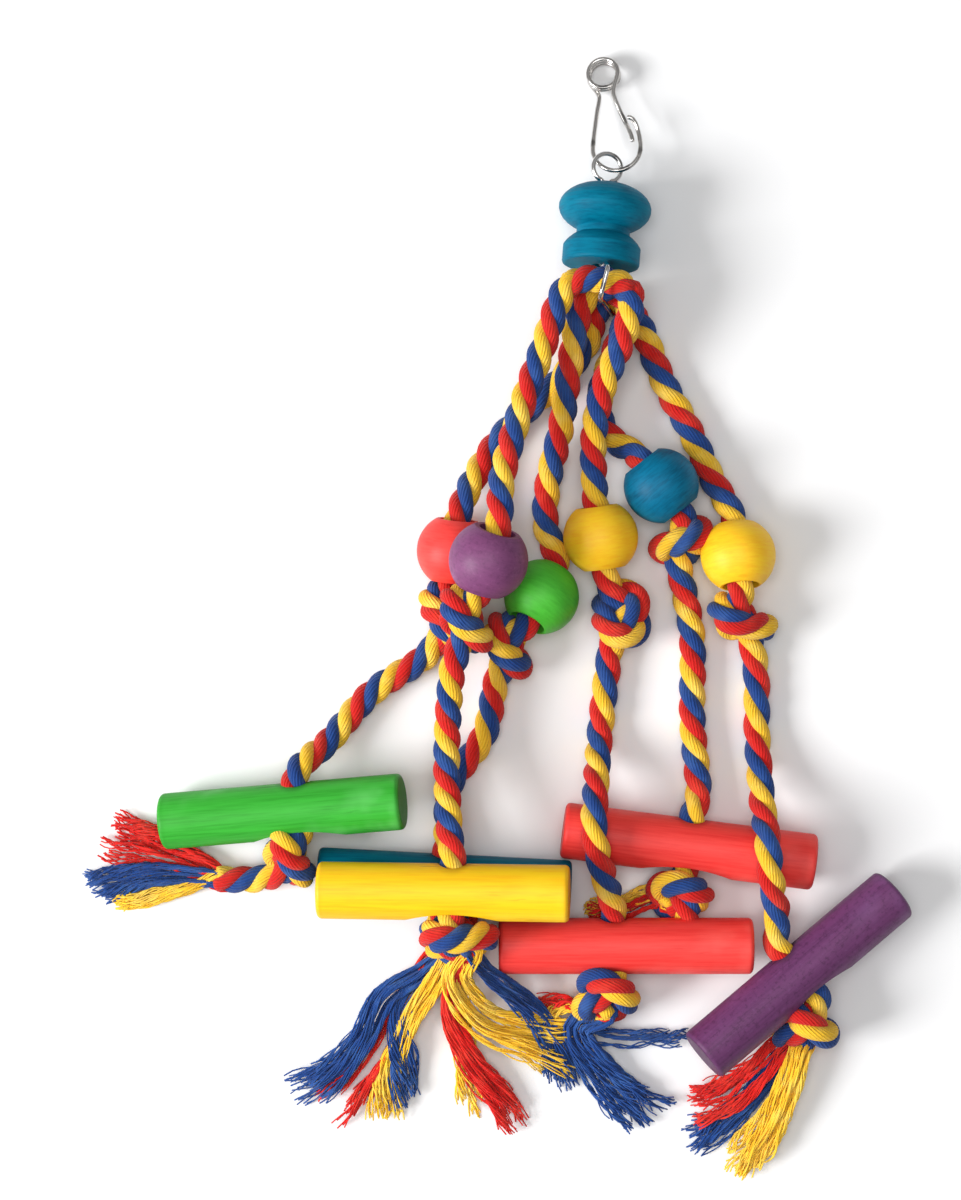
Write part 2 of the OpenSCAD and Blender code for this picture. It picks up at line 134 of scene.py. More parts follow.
def tube(path, radius, sides, axes=None):
    """Points p + r(cos a n + sin a b) round a path, closed by a point at each end.

    Gives points, four-sided faces, three-sided faces, and for each face corner (turns round the
    tube, length along it in mm)."""
    t, n, b = axes if axes is not None else carried(path)
    r = np.broadcast_to(np.asarray(radius, float), (len(path),))
    a = np.arange(sides) * 2 * math.pi / sides
    ring = np.cos(a)[None, :, None] * n[:, None] + np.sin(a)[None, :, None] * b[:, None]
    body = path[:, None] + r[:, None, None] * ring
    tips = [path[0] - 0.35 * r[0] * t[0], path[-1] + 0.35 * r[-1] * t[-1]]
    points = np.vstack([body.reshape(-1, 3), *tips])
    i, k, quads, tris = tube_faces(len(path), sides)
    s = reached(path)
    u0, u1 = k / sides, (k + 1) / sides
    quad_uv = np.stack([
        np.stack([u0, s[i]], -1), np.stack([u1, s[i]], -1),
        np.stack([u1, s[i + 1]], -1), np.stack([u0, s[i + 1]], -1)], 2).reshape(-1, 4, 2)
    j = np.arange(sides)
    low_uv = np.stack([(j + 0.5) / sides, (j + 1) / sides, j / sides], -1)
    high_uv = np.stack([(j + 0.5) / sides, j / sides, (j + 1) / sides], -1)
    tri_uv = np.concatenate([
        np.stack([low_uv, np.zeros_like(low_uv)], -1),
        np.stack([high_uv, np.full_like(high_uv, s[-1])], -1)])
    return points, quads, tris, quad_uv, tri_uv


# Loose yarns: step across the yarn pattern from one to the next, and its stretch along them
YARN_STEP, YARN_STRETCH = 0.377, 0.06


def loose_yarns(paths, radius, sides=4):
    """Thin tubes round many paths at once: p + r(cos a n + sin a b), closed by a point at each end.

    Each yarn has one place across the yarn pattern, so that it is of one tone along its length."""
    t = unit(np.gradient(paths, axis=1))
    n = unit(np.cross(t, [0.12, 0.05, 1.0]))
    b = np.cross(t, n)
    count, m = paths.shape[:2]
    a = np.arange(sides) * 2 * math.pi / sides
    r = np.asarray(radius)[:, None, None, None]
    ring = np.cos(a)[:, None] * n[:, :, None] + np.sin(a)[:, None] * b[:, :, None]
    body = paths[:, :, None] + r * ring
    out = 0.6 * r[:, 0, 0]
    tips = np.stack([paths[:, 0] - out * t[:, 0], paths[:, -1] + out * t[:, -1]], axis=1)
    points = np.concatenate([body.reshape(count, -1, 3), tips], axis=1)
    i, _, quads, tris = tube_faces(m, sides)
    base = np.arange(count)[:, None, None] * points.shape[1]
    s = np.linalg.norm(np.diff(paths, axis=1), axis=2).mean() * np.arange(m)
    length = YARN_STRETCH * np.stack([s[i], s[i], s[i + 1], s[i + 1]], -1).reshape(-1, 4)
    start = YARN_STEP * np.arange(count)[:, None, None]
    quad_uv = np.stack(np.broadcast_arrays(start, length[None]), -1).reshape(-1, 4, 2)
    tri_uv = np.zeros((count * len(tris), 3, 2))
    quads, tris = (quads + base).reshape(-1, 4), (tris + base).reshape(-1, 3)
    return points.reshape(-1, 3), quads, tris, quad_uv, tri_uv


def joined(parts):
    """Several shapes as one, each with the number of its material."""
    points, quads, tris, quad_uv, tri_uv, quad_mat, tri_mat = [], [], [], [], [], [], []
    base = 0
    for (p, q, t, qu, tu), mat in parts:
        points.append(p)
        quads.append(q + base)
        tris.append(t + base)
        quad_uv.append(qu)
        tri_uv.append(tu)
        quad_mat.append(np.full(len(q), mat))
        tri_mat.append(np.full(len(t), mat))
        base += len(p)
    return [np.concatenate(x) for x in (points, quads, tris, quad_uv, tri_uv, quad_mat, tri_mat)]


def piece(name, parts, materials, body):
    """Shapes in millimetres made into one smooth Blender object that rides on a body."""
    points, quads, tris, quad_uv, tri_uv, quad_mat, tri_mat = joined(parts)
    mesh = bpy.data.meshes.new(name)
    mesh.vertices.add(len(points))
    mesh.vertices.foreach_set("co", (points * MM).astype(np.float32).ravel())
    corners = np.concatenate([quads.ravel(), tris.ravel()]).astype(np.int32)
    mesh.loops.add(len(corners))
    mesh.loops.foreach_set("vertex_index", corners)
    starts = np.concatenate([np.arange(len(quads)) * 4, len(quads) * 4 + np.arange(len(tris)) * 3])
    mesh.polygons.add(len(quads) + len(tris))
    mesh.polygons.foreach_set("loop_start", starts.astype(np.int32))
    mesh.polygons.foreach_set("material_index", np.concatenate([quad_mat, tri_mat]).astype(np.int32))
    mesh.polygons.foreach_set("use_smooth", np.ones(len(starts), bool))
    uv = mesh.uv_layers.new(name="yarn")
    places = np.concatenate([quad_uv.reshape(-1, 2), tri_uv.reshape(-1, 2)])
    uv.data.foreach_set("uv", places.astype(np.float32).ravel())
    mesh.update(calc_edges=True)
    mesh.validate()
    for material in materials:
        mesh.materials.append(material)
    ob = bpy.data.objects.new(name, mesh)
    bpy.context.scene.collection.objects.link(ob)
    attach(ob, body)
    return ob


# Materials

class Value:
    """A shader socket. Arithmetic on it adds the Math node that does it."""

    def __init__(self, look, socket):
        self.look = look
        self.socket = socket

    def _math(self, how, *others):
        return self.look.node("ShaderNodeMath", enumerate((self, *others)), operation=how)

    def __add__(self, other):
        return self._math("ADD", other)

    __radd__ = __add__

    def __mul__(self, other):
        return self._math("MULTIPLY", other)

    __rmul__ = __mul__

    def __sub__(self, other):
        return self._math("SUBTRACT", other)

    def __rsub__(self, other):
        return self.look.node("ShaderNodeMath", {0: other, 1: self}, operation="SUBTRACT")

    def __pow__(self, other):
        return self._math("POWER", other)

    def size(self):
        """Without its sign."""
        return self._math("ABSOLUTE")

    def wave(self):
        return self._math("SINE")

    def rises(self, low, high):
        """0 below low, 1 above high, and a smooth step between."""
        ends = {0: self, 1: low, 2: high, 3: 0.0, 4: 1.0}
        return self.look.node("ShaderNodeMapRange", ends, interpolation_type="SMOOTHSTEP")


class Look:
    """A material and its node tree."""

    def __init__(self, name):
        self.material = bpy.data.materials.new(name)
        self.material.use_nodes = True
        self.tree = self.material.node_tree
        self.tree.nodes.clear()
        self.shader = self.tree.nodes.new("ShaderNodeBsdfPrincipled")
        out = self.tree.nodes.new("ShaderNodeOutputMaterial")
        self.tree.links.new(self.shader.outputs[0], out.inputs[0])

    def _feed(self, socket, value):
        if isinstance(value, Value):
            self.tree.links.new(value.socket, socket)
        elif isinstance(value, (tuple, list)) and socket.type == "RGBA" and len(value) == 3:
            socket.default_value = (*value, 1)
        else:
            socket.default_value = value

    def node(self, kind, sockets=(), out=0, **settings):
        """Adds a node: its settings first, then the values or links of its sockets."""
        n = self.tree.nodes.new(kind)
        for key, value in settings.items():
            setattr(n, key, value)
        for key, value in dict(sockets).items():
            self._feed(n.inputs[key], value)
        return Value(self, n.outputs[out])

    def here(self):
        """Object coordinates."""
        return self.node("ShaderNodeTexCoord", out=3)

    def place(self, at, turn):
        """Object coordinates measured from a point, in turned axes."""
        where = {0: self.here(), 1: at, 2: turn}
        return self.node("ShaderNodeMapping", where, vector_type="TEXTURE")

    def parts(self, vector):
        """The three numbers of a vector."""
        x = self.node("ShaderNodeSeparateXYZ", {0: vector})
        return [Value(self, socket) for socket in x.socket.node.outputs]

    def stretched(self, vector, by):
        return self.node("ShaderNodeVectorMath", {0: vector, 1: by}, operation="MULTIPLY")

    def noise(self, vector, scale, detail, rough=0.5, distort=0.0):
        return self.node("ShaderNodeTexNoise", {
            "Vector": vector, "Scale": scale, "Detail": detail, "Roughness": rough, "Distortion": distort})

    def mix(self, amount, low, high):
        """Colours mixed by an amount."""
        return self.node("ShaderNodeMix", {0: amount, 6: low, 7: high}, out=2, data_type="RGBA")

    def finish(self, **sockets):
        """Sets or links the shader's own sockets by name."""
        for key, value in sockets.items():
            self._feed(self.shader.inputs[key.replace("_", " ")], value)
        return self.material

    def bumps(self, height, depth, strength):
        return self.node("ShaderNodeBump", {"Height": height, "Strength": strength, "Distance": depth})


# Yarns and hairs round one strand, and how far the yarns turn round it in each mm
YARNS, HAIRS = 14, 46
YARN_SLANT = 0.066


def scaled(numbers, share):
    """A colour made darker, or a stretch made finer."""
    return tuple(share * c for c in numbers)


def cotton(name, colour, shade, pale):
    """Soft cotton yarn laid along a strand: fine stripes on the strand's own map, with painted shade
    between the yarns, and loose nap.
    """
    look = Look(name)
    uv = look.node("ShaderNodeUVMap", uv_map="yarn")
    u, v, _ = look.parts(uv)
    here = look.here()
    nap = look.noise(here, 900.0, 3.0, 0.6)
    blotch = look.noise(here, 130.0, 2.0)
    across = u - v * YARN_SLANT
    yarns = ((across * (YARNS * 2 * math.pi)) + nap * 2.2).wave() * 0.5 + 0.5
    fibre = look.node("ShaderNodeCombineXYZ", {0: across * HAIRS, 1: v * 0.3, 2: 0.0})
    hair = look.noise(fibre, 1.0, 3.0, 0.65)
    # Painted shade: the tone falls to the shade colour between the yarns' stripes, and the hairs add
    # random tone.
    tone = look.mix(yarns * 0.45 + hair * 0.65, shade, colour)
    tone = look.mix(blotch.rises(0.42, 0.8) * 0.4, tone, pale)
    height = yarns * 0.5 + hair * 0.6 + nap * 0.5
    return look.finish(
        Base_Color=tone, Roughness=0.9, Specular_IOR_Level=0.15, Sheen_Weight=0.12, Sheen_Roughness=0.5,
        Normal=look.bumps(height, 0.0006, 0.9))


def dyed_wood(node, middle_at, turn, dye, deep, pale, *,
              sheen, half=None, hole=None, lathe=False, specks=0):
    """Pale wood dyed through its surface and waxed, in axes with X along the piece.

    A block's grain runs along X as long streaks with short open pores. Its ends are darker, partly end
    grain that took up more dye and partly painted shade on the rounded ends, and the edge of its hole
    is darker with painted shade where the rope goes in. A bead or the cap has fine lines round its axis
    from the lathe. The dye lies in soft clouds, whose pale patches are partly uneven dye and partly
    painted highlight of the wax, and the purple has specks where it didn't take."""
    look = Look(node + "_dyed")
    here = look.place(middle_at, turn)
    run = (420, 60, 60) if lathe else (16, 300, 300)
    streak = look.noise(look.stretched(here, run), 1.0, 3.0, 0.6, 0.5)
    fine = look.noise(look.stretched(here, scaled(run, 3.4)), 1.0, 3.0, 0.65)
    dye_and_highlight_cloud = look.noise(here, 75.0, 2.0, 0.5)
    dye_and_highlight_patch = look.noise(here, 34.0, 1.0, 0.5)
    lines = 0.34 if lathe else 0.4
    dyed = 1 - (1 - streak).rises(0.42, 0.72) * lines - (1 - fine).rises(0.4, 0.7) * lines
    tone = look.mix(dyed, deep, dye)
    # Pale clouds: partly uneven dye and partly painted highlight of the wax.
    tone = look.mix(dye_and_highlight_cloud.rises(0.5, 0.78) * dye_and_highlight_patch.rises(0.4, 0.7) * 0.5, tone, pale)
    rough = 0.42 + streak * 0.16
    height = streak * 0.7 + fine * 0.3
    if not lathe:
        open_pores = look.noise(look.stretched(here, (95, 1500, 1500)), 1.0, 1.0, 0.5)
        where = look.noise(look.stretched(here, (30, 120, 120)), 1.0, 1.0, 0.5)
        pores = open_pores.rises(0.62, 0.72) * where.rises(0.54, 0.68)
        tone = look.mix(pores * 0.55, tone, scaled(deep, 0.5))
        height = height - pores * 0.8
    if specks:
        grit = look.noise(here, 620.0, 3.0, 0.7)
        tone = look.mix(grit.rises(0.5, 0.68) * specks, tone, scaled(deep, 0.35))
        tone = look.mix((1 - grit).rises(0.58, 0.72) * specks * 0.6, tone, pale)
    if half is not None:
        x, _, z = look.parts(here)
        out = x.size()
        # Darker towards the ends: partly end grain that took more dye, partly painted shade on the rounded
        # ends and end faces.
        tone = look.mix(out.rises(half - 0.0032, half - 0.0002) * 0.45, tone, deep)
        tone = look.mix(out.rises(half - 0.0003, half - 0.0001) * 0.7, tone, scaled(deep, 0.7))
        aside = x - hole
        rim = (aside * aside + z * z) ** 0.5
        # Painted shade round the edge of the hole, where the rope goes in.
        tone = look.mix((1 - rim.rises(0.0046, 0.0078)) * 0.65, tone, scaled(deep, 0.45))
    return look.finish(
        Base_Color=tone, Roughness=rough, Specular_IOR_Level=sheen,
        Normal=look.bumps(height, 0.00012, 0.5))


def plated(name, tint, rough):
    """Bright plated wire, duller and a little darker in patches, with patches of painted dark reflection
    and faint lines where it was drawn.
    """
    look = Look(name)
    uv = look.node("ShaderNodeUVMap", uv_map="yarn")
    here = look.here()
    drawn = look.noise(look.stretched(uv, (60, 0.15, 1)), 1.0, 2.0, 0.5)
    dull = look.noise(here, 160.0, 2.0, 0.5).rises(0.45, 0.75)
    painted_dark_reflection = look.noise(here, 110.0, 1.0, 0.5).rises(0.54, 0.64)
    tone = look.mix(dull * 0.3, tint, scaled(tint, 0.75))
    # Painted dark reflection: in patches the tint falls far darker.
    tone = look.mix(painted_dark_reflection * 0.75, tone, scaled(tint, 0.16))
    return look.finish(
        Base_Color=tone, Metallic=1.0, Roughness=rough + dull * 0.08,
        Normal=look.bumps(drawn, 0.00002, 0.2))


# Cotton: its colour, the shade painted between the yarns, and its pale blotches.
COTTON = [
    cotton("cotton_blue", (0.02, 0.08, 0.32), (0.006, 0.024, 0.13), (0.07, 0.17, 0.45)),
    cotton("cotton_red", (0.76, 0.02, 0.015), (0.45, 0.008, 0.008), (0.88, 0.09, 0.05)),
    cotton("cotton_yellow", (0.98, 0.65, 0.045), (0.84, 0.4, 0.014), (1.0, 0.82, 0.24)),
]
# Painted light: lighter copies of the same cotton for the loose yarns, to make up for the shade they cast
# on one another.
BRIGHTENED_LOOSE_COTTON = [
    cotton("brightened_loose_blue", (0.02, 0.09, 0.36), (0.006, 0.03, 0.15), (0.07, 0.19, 0.5)),
    cotton("brightened_loose_red", (0.86, 0.018, 0.012), (0.5, 0.006, 0.006), (0.93, 0.09, 0.05)),
    cotton("brightened_loose_yellow", (1.0, 0.7, 0.05), (0.92, 0.46, 0.014), (1.0, 0.86, 0.25)),
]
BLUE, RED, YELLOW = 0, 1, 2


# Ropes

# The rope's diameter, and its strands' radius and distance from the rope's middle line
ROPE = 9.3
STRAND = 0.265 * ROPE
STRAND_OFF = 0.235 * ROPE


def middle(node):
    """The middle of a solid's box, in mm."""
    low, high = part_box(node)
    return (np.array(low) + np.array(high)) / 2 / MM


# Beads: turn of the bore from straight down, and rise of its lower end, in degrees
BEADS = {
    "bead_red": (-6, -6), "bead_purple": (-17, -14), "bead_green": (-29, 20),
    "bead_yellow_left": (8, -3), "bead_teal": (38, 0), "bead_yellow_right": (4, 14),
}
# Blocks: turn, rise of the right end, and place of the hole from the middle in mm
BLOCKS = {
    "block_green": (5.3, 8.5, 5.5), "block_yellow": (-0.5, 4, 3), "block_teal": (-3, 0, 0),
    "block_upper_red": (-7.3, 0, 0), "block_lower_red": (0, 0, -4), "block_purple": (39, -9, 0),
}
# Where a route's points are in the bores, in mm from their middles
BEAD_REACH, BEAD_SAG = 11.5, 1.0
BLOCK_IN, BLOCK_OUT = -11.5, 9


def in_bead(name, t):
    """A point of the rope in a bead's bore, t mm past its middle."""
    turn, rise = np.radians(BEADS[name])
    d = np.array([math.sin(turn) * math.cos(rise), -math.cos(turn) * math.cos(rise), math.sin(rise)])
    return middle(name) - [0, 0, BEAD_SAG] + t * d


def in_block(name, t):
    """A point of the rope in a block's hole, t mm past its middle."""
    turn, rise = np.radians(BLOCKS[name][:2])
    side = np.array([math.cos(turn) * math.cos(rise), math.sin(turn) * math.cos(rise), math.sin(rise)])
    return middle(name) + BLOCKS[name][2] * side + t * np.array([math.sin(turn), -math.cos(turn), 0])


def leg(first, bead, second, block, last):
    """Given points of a leg from its fold: to the bead, through it, to the block, through it."""
    return [
        *first, in_bead(bead, -BEAD_REACH), in_bead(bead, BEAD_REACH),
        *second, in_block(block, BLOCK_IN), in_block(block, BLOCK_OUT), last,
    ]


def drawn_knot(count=90, step=0.19, rounds=3000):
    """An overhand knot in a rope of diameter 1, with its ends along X.

    A knotted curve (x = 10t - t^5, y = t^3 - 3t, z = t^4 - 4t^2, scaled) is pulled at its ends.
    In each round every point eases towards its neighbours' middle, stretches that lie nearer
    than one diameter push apart, and the steps along the rope return to their own length."""
    t = np.linspace(-2.2, 2.2, 800)
    p = np.stack([(10 * t - t**5) / 8, t**3 - 3 * t, (t**4 - 4 * t**2) * 0.55], axis=1)
    s = reached(p)
    length = step * (count - 1)
    p = at_lengths(p * length / s[-1], s * length / s[-1], np.linspace(0, length, count))
    if p[0, 0] > p[-1, 0]:
        p[:, 0] *= -1
    number = np.arange(count)
    apart = np.abs(number[:, None] - number[None]) > math.ceil(1.3 / step)
    for k in range(rounds):
        pull = 0.03 if k < 0.7 * rounds else 0.01
        near = min(1.0, 0.55 + 0.45 * k / (0.35 * rounds))
        p[0] += [-pull, -0.1 * p[0, 1], -0.1 * p[0, 2]]
        p[-1] += [pull, -0.1 * p[-1, 1], -0.1 * p[-1, 2]]
        p[1, 1:] *= 0.8
        p[-2, 1:] *= 0.8
        p[1:-1] += 0.2 * (0.5 * (p[:-2] + p[2:]) - p[1:-1])
        gap = p[:, None] - p[None]
        reach = np.sqrt((gap * gap).sum(2)) + 1e-9
        over = np.where(apart & (reach < near), near - reach, 0)
        push = (gap * (over / reach * 0.5)[..., None]).sum(1)
        p += push / np.sqrt(np.maximum((over > 0).sum(1), 1))[:, None]
        for _ in range(4):
            for odd in (0, 1):
                i = np.arange(odd, count - 1, 2)
                e = p[i + 1] - p[i]
                q = np.sqrt((e * e).sum(1, keepdims=True))
                move = 0.5 * (q - step) / np.maximum(q, 1e-9) * e
                p[i] += move
                p[i + 1] -= move
    return p - 0.5 * (p[0] + p[-1])


# In rope diameters: half a knot's length, the fade at its ends, its shift off the route, and how
# far the rope's end comes out of its last knot
KNOT = drawn_knot()
KNOT_REACH, KNOT_FADE, KNOT_OFF, END_OUT = 2.4, 0.9, 0.45, 1.2


def with_knots(path, knots, tail=()):
    """A route with overhand knots tied in it, and how far each point is inside a knot.

    Each knot is [middle, roll about the rope in degrees, size in mm of one rope diameter, 1 or -1
    for its hand, share of its length that is left where it is pressed short]. A point of the knot is
    the route's own point at the same distance from the knot's middle, moved sideways by the knot's
    own offset, which fades towards its ends as 3f^2 - 2f^3."""
    inside = np.zeros(len(path))
    for at, roll, size, hand, short in knots:
        s = reached(path)
        centre = s[np.argmin(np.linalg.norm(path - np.asarray(at, float), axis=1))]
        x, y, z = KNOT.T * size
        y = y * hand
        keep = np.abs(x) < KNOT_REACH * size
        x, y, z = x[keep], y[keep], z[keep]
        fade = np.clip((KNOT_REACH * size - np.abs(x)) / (KNOT_FADE * size), 0, 1)
        fade = fade * fade * (3 - 2 * fade)
        x = x * short
        z = (z + KNOT_OFF * size) * fade
        y = y * fade
        where = np.clip(centre + x, 0, s[-1] + 40)
        base = at_lengths(path, s, where)
        beyond = np.maximum(where - s[-1], 0)[:, None]
        base = base + beyond * unit(path[-1] - path[-6])
        i = int(np.argmin(np.abs(s - centre)))
        t = unit(path[min(i + 6, len(path) - 1)] - path[max(i - 6, 0)])
        n = unit(np.cross([0, 0, 1], t))
        b = np.cross(t, n)
        cos, sin = math.cos(math.radians(roll)), math.sin(math.radians(roll))
        tied = base + y[:, None] * (cos * n + sin * b) + z[:, None] * (cos * b - sin * n)
        before = s < centre - KNOT_REACH * size * short
        after = s > centre + KNOT_REACH * size * short
        if at is knots[-1][0]:
            # the rope's end comes out of its last knot, and is cut there
            stop = np.nonzero(x < END_OUT * size * short)[0][-1] + 1
            tied, fade = tied[:stop], fade[:stop]
            after = s < 0
        path = np.vstack([path[before], tied, path[after]])
        inside = np.concatenate([inside[before], fade, inside[after]])
    if len(tail):
        beyond = flowing([path[-1], *tail])[2:]
        path = np.vstack([path, beyond])
        inside = np.concatenate([inside, np.zeros(len(beyond))])
    s = reached(path)
    even = along(path, 0.95)
    inside = np.interp(np.linspace(0, s[-1], len(even)), s, inside)
    even = eased(even, 6)
    even[:, 2] = np.maximum(even[:, 2], ROPE / 2 + 0.05)
    return even, inside


BEND_END, BEAD_START, KNOT_END = 15, 90, 150


def wound(distance, upper_lay, lower_lay, near, below):
    """Turns of the strands at distances in mm from the fold: near turns over the bend, then one
    for each upper_lay mm down to the bead, and one for each lower_lay mm from where the bead's knot
    ends and below turns are reached."""
    more = 20
    return np.interp(
        distance, [0, BEND_END, BEAD_START, KNOT_END, KNOT_END + more * lower_lay],
        [0, near, near + (BEAD_START - BEND_END) / upper_lay, below, below + more])


def rope(name, left, fold, right, knots_left, knots_right, order, phase, wind_left, wind_right,
         left_tail=()):
    """Lays one folded rope: three strands wound round one line, made as a cord for each leg.

    A strand's middle line is the rope's line + r(cos a n + sin a m), where a falls with the turns."""
    a, inside_a = with_knots(flowing([fold, *left]), knots_left, left_tail)
    b, inside_b = with_knots(flowing([fold, *right]), knots_right)
    # one smooth line over the fold, so that the strands run on through it
    line = np.vstack([a[::-1], b[1:]])
    top, bend = len(a) - 1, 12
    line[top - bend:top + bend + 1] = eased(line[top - 2 * bend:top + 2 * bend + 1], 40)[bend:-bend]
    inside = np.concatenate([inside_a[::-1], inside_b[1:]])
    t, n, m = carried(line)
    s = reached(line)
    girth = 1 + 0.03 * inside
    far = s - s[top]
    turns = np.where(far > 0, wound(far, *wind_right), -wound(-far, *wind_left))
    span = 13
    turns = np.pad(turns, span // 2, mode="reflect", reflect_type="odd")
    turns = np.convolve(turns, np.full(span, 1 / span), mode="valid")
    made = []
    for k in range(3):
        angle = math.radians(phase) + 2 * math.pi * (k / 3 - turns)
        out = np.cos(angle)[:, None] * n + np.sin(angle)[:, None] * m
        strand = line + (STRAND_OFF * girth)[:, None] * out
        st = unit(np.gradient(strand, axis=0))
        inwards = -unit(out - (out * st).sum(1, keepdims=True) * st)
        axes = (st, inwards, np.cross(st, inwards))
        made.append((strand, axes))
    cords = []
    halves = (("left", slice(0, top + 1), line[top::-1]), ("right", slice(top, len(line)), line[top:]))
    for side, part, path in halves:
        shapes = [
            (tube(strand[part], STRAND * girth[part], 14, tuple(x[part] for x in axes)), order[k])
            for k, (strand, axes) in enumerate(made)
        ]
        cord = piece(f"{name}_{side}_leg", shapes, COTTON, "toy")
        cords.append((cord, path))
    for cord, _ in cords:
        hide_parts(name)
    return cords


# Yarns drawn for each one counted, yarns in a bunch, and a lock's half width where it starts
MORE_YARNS, BUNCH, LOCK_START = 2.3, 7, 3.6


def fray(name, path, lobes, seed):
    """The loose yarns of a rope's end, which fan out from its last knot in a few locks.

    The yarns lie in small bunches. A bunch follows its lock's middle line, moved sideways by a share
    of the lock's half width, which grows towards the end as u^1.3, and by a slow wave. Its yarns
    turn round it as helices, whose radius grows as u^3 where the bunch opens."""
    chance = np.random.default_rng(seed)
    end, ahead = path[-1], unit(path[-1] - path[-4])
    shapes = []
    for colour, count, width, points in lobes:
        count = int(MORE_YARNS * count)
        bunches = max(count // BUNCH, 3)
        bunch = chance.integers(0, bunches, count)

        def bunched(low, high):
            return chance.uniform(low, high, bunches)[bunch][:, None]

        def each(low, high):
            return chance.uniform(low, high, count)[:, None]

        last = np.array(points[-1], float)
        over = last + 0.12 * (last - np.array(points[-2], float))
        core = flowing([end - 3.0 * ahead, end, *points, over])
        u = np.linspace(0, 1, 26)[None]
        where = u * (bunched(0.82, 1.0) - each(0, 0.05)) * (len(core) - 1)
        base = at_lengths(core, np.arange(len(core)), where)
        t = unit(np.gradient(base, axis=1))
        side = unit(np.cross(t, [0.02, 0.03, 1.0]))
        lift = np.cross(side, t)
        angle, share = bunched(0, 2 * math.pi), bunched(0, 1) ** 0.5
        half = LOCK_START + (width - LOCK_START) * u**1.3
        sway = bunched(0.4, 1.3) * u * np.sin(u * bunched(5, 12) + bunched(0, 6.3))
        bob = bunched(0.2, 0.8) * u * np.sin(u * bunched(6, 13) + bunched(0, 6.3))
        curl = u * bunched(14, 22) + each(0, 2 * math.pi)
        apart = each(0.25, 0.75) + each(0, 1.1) * u**3
        across = half * share * np.cos(angle) + sway + apart * np.cos(curl) + each(-1.5, 1.5) * u**4
        above = (2.3 - 0.5 * u) * share * np.sin(angle) + bob + apart * np.sin(curl)
        lines = base + across[..., None] * side + above[..., None] * lift
        thick = chance.uniform(0.2, 0.29, count)
        lines[..., 2] = np.maximum(lines[..., 2], thick[:, None] + 0.05)
        shapes.append((loose_yarns(lines, thick), colour))
    return piece(name, shapes, BRIGHTENED_LOOSE_COTTON, "toy")


def declare(path, pieces_on_it):
    """Turns a leg's first point and every second point of its line into metres, and keeps nothing."""
    tuple(path[0] * MM)
    [tuple(q * MM) for q in path[::2]]


FRONT = dict(
    left=leg([[15.2, 97, 26], [8.6, 90.8, 26], [2.5, 73.5, 26], [-5, 52.5, 28], [-11.5, 29, 33.5]],
             "bead_purple", [[-23.5, -19.5, 27.5], [-28, -34.5, 24], [-30, -63.5, 21], [-29, -88.5, 28.5]],
             "block_yellow", [-25, -124, 31]),
    fold=[21.9, 94.6, 26.2],
    right=leg([[27.8, 96, 26], [32, 89.3, 26], [29, 75.5, 23], [22.5, 59.5, 18.5], [19.5, 42.5, 15.5],
               [20, 26, 13.5]],
              "bead_yellow_left", [[28, -16.5, 10.5], [25, -32.5, 5], [22, -57.5, 5], [20, -77, 19],
                                   [19.5, -90.5, 25], [23, -105, 19.5]],
              "block_lower_red", [25.5, -146.4, 11.5]),
    knots_left=[([-23, -19, 27.8], 330, 6.4, 1, 0.95), ([-25.5, -124, 30.5], 335, 6.8, 1, 0.82)],
    knots_right=[([28.2, -16.3, 10], 90, 6.3, 1, 1), ([23.5, -146.4, 11], 270, 7.3, 1, 0.82)],
    order=(BLUE, YELLOW, RED), phase=-80,
    wind_left=(22.5, 20.5, 0.95, 6.963), wind_right=(20.75, 24.75, 0.943, 6.894),
)
MIDDLE = dict(
    left=leg([[16.8, 92.6, 16.7], [14.2, 83.5, 16], [10.8, 62.5, 15.5], [8.5, 46, 11.5], [4.5, 29, 6],
              [3.5, 14, 5]],
             "bead_green", [[-9.5, -27, 12], [-13.5, -40, 5], [-17.5, -58, 5], [-29, -74.5, 5],
                            [-30, -88, 6]],
             "block_teal", [-30.5, -125, 10.5]),
    fold=[23, 93.2, 16.6],
    right=leg([[29.3, 92.8, 16.4], [31.6, 86, 15.3], [28, 76, 11], [22, 58, 5], [24, 45.5, 5],
               [33, 38.5, 8.5]],
              "bead_teal", [[48, 8.5, 10], [50, -5, 5], [53.5, -25, 5], [53.5, -52.5, 5], [55.5, -77, 7]],
              "block_upper_red", [47, -111.5, 9.5]),
    knots_left=[([-9.2, -28.4, 11.5], 340, 6.1, 1, 0.95), ([-30.5, -125, 10], 90, 6.3, 1, 1)],
    knots_right=[([47.3, 7.5, 10.5], 45, 5.6, -1, 0.95), ([47, -111.5, 9], 90, 7, -1, 0.72)],
    order=(BLUE, RED, YELLOW), phase=0,
    wind_left=(23, 21, 0.747, 6.972), wind_right=(22.5, 22, 0.667, 6.737),
)
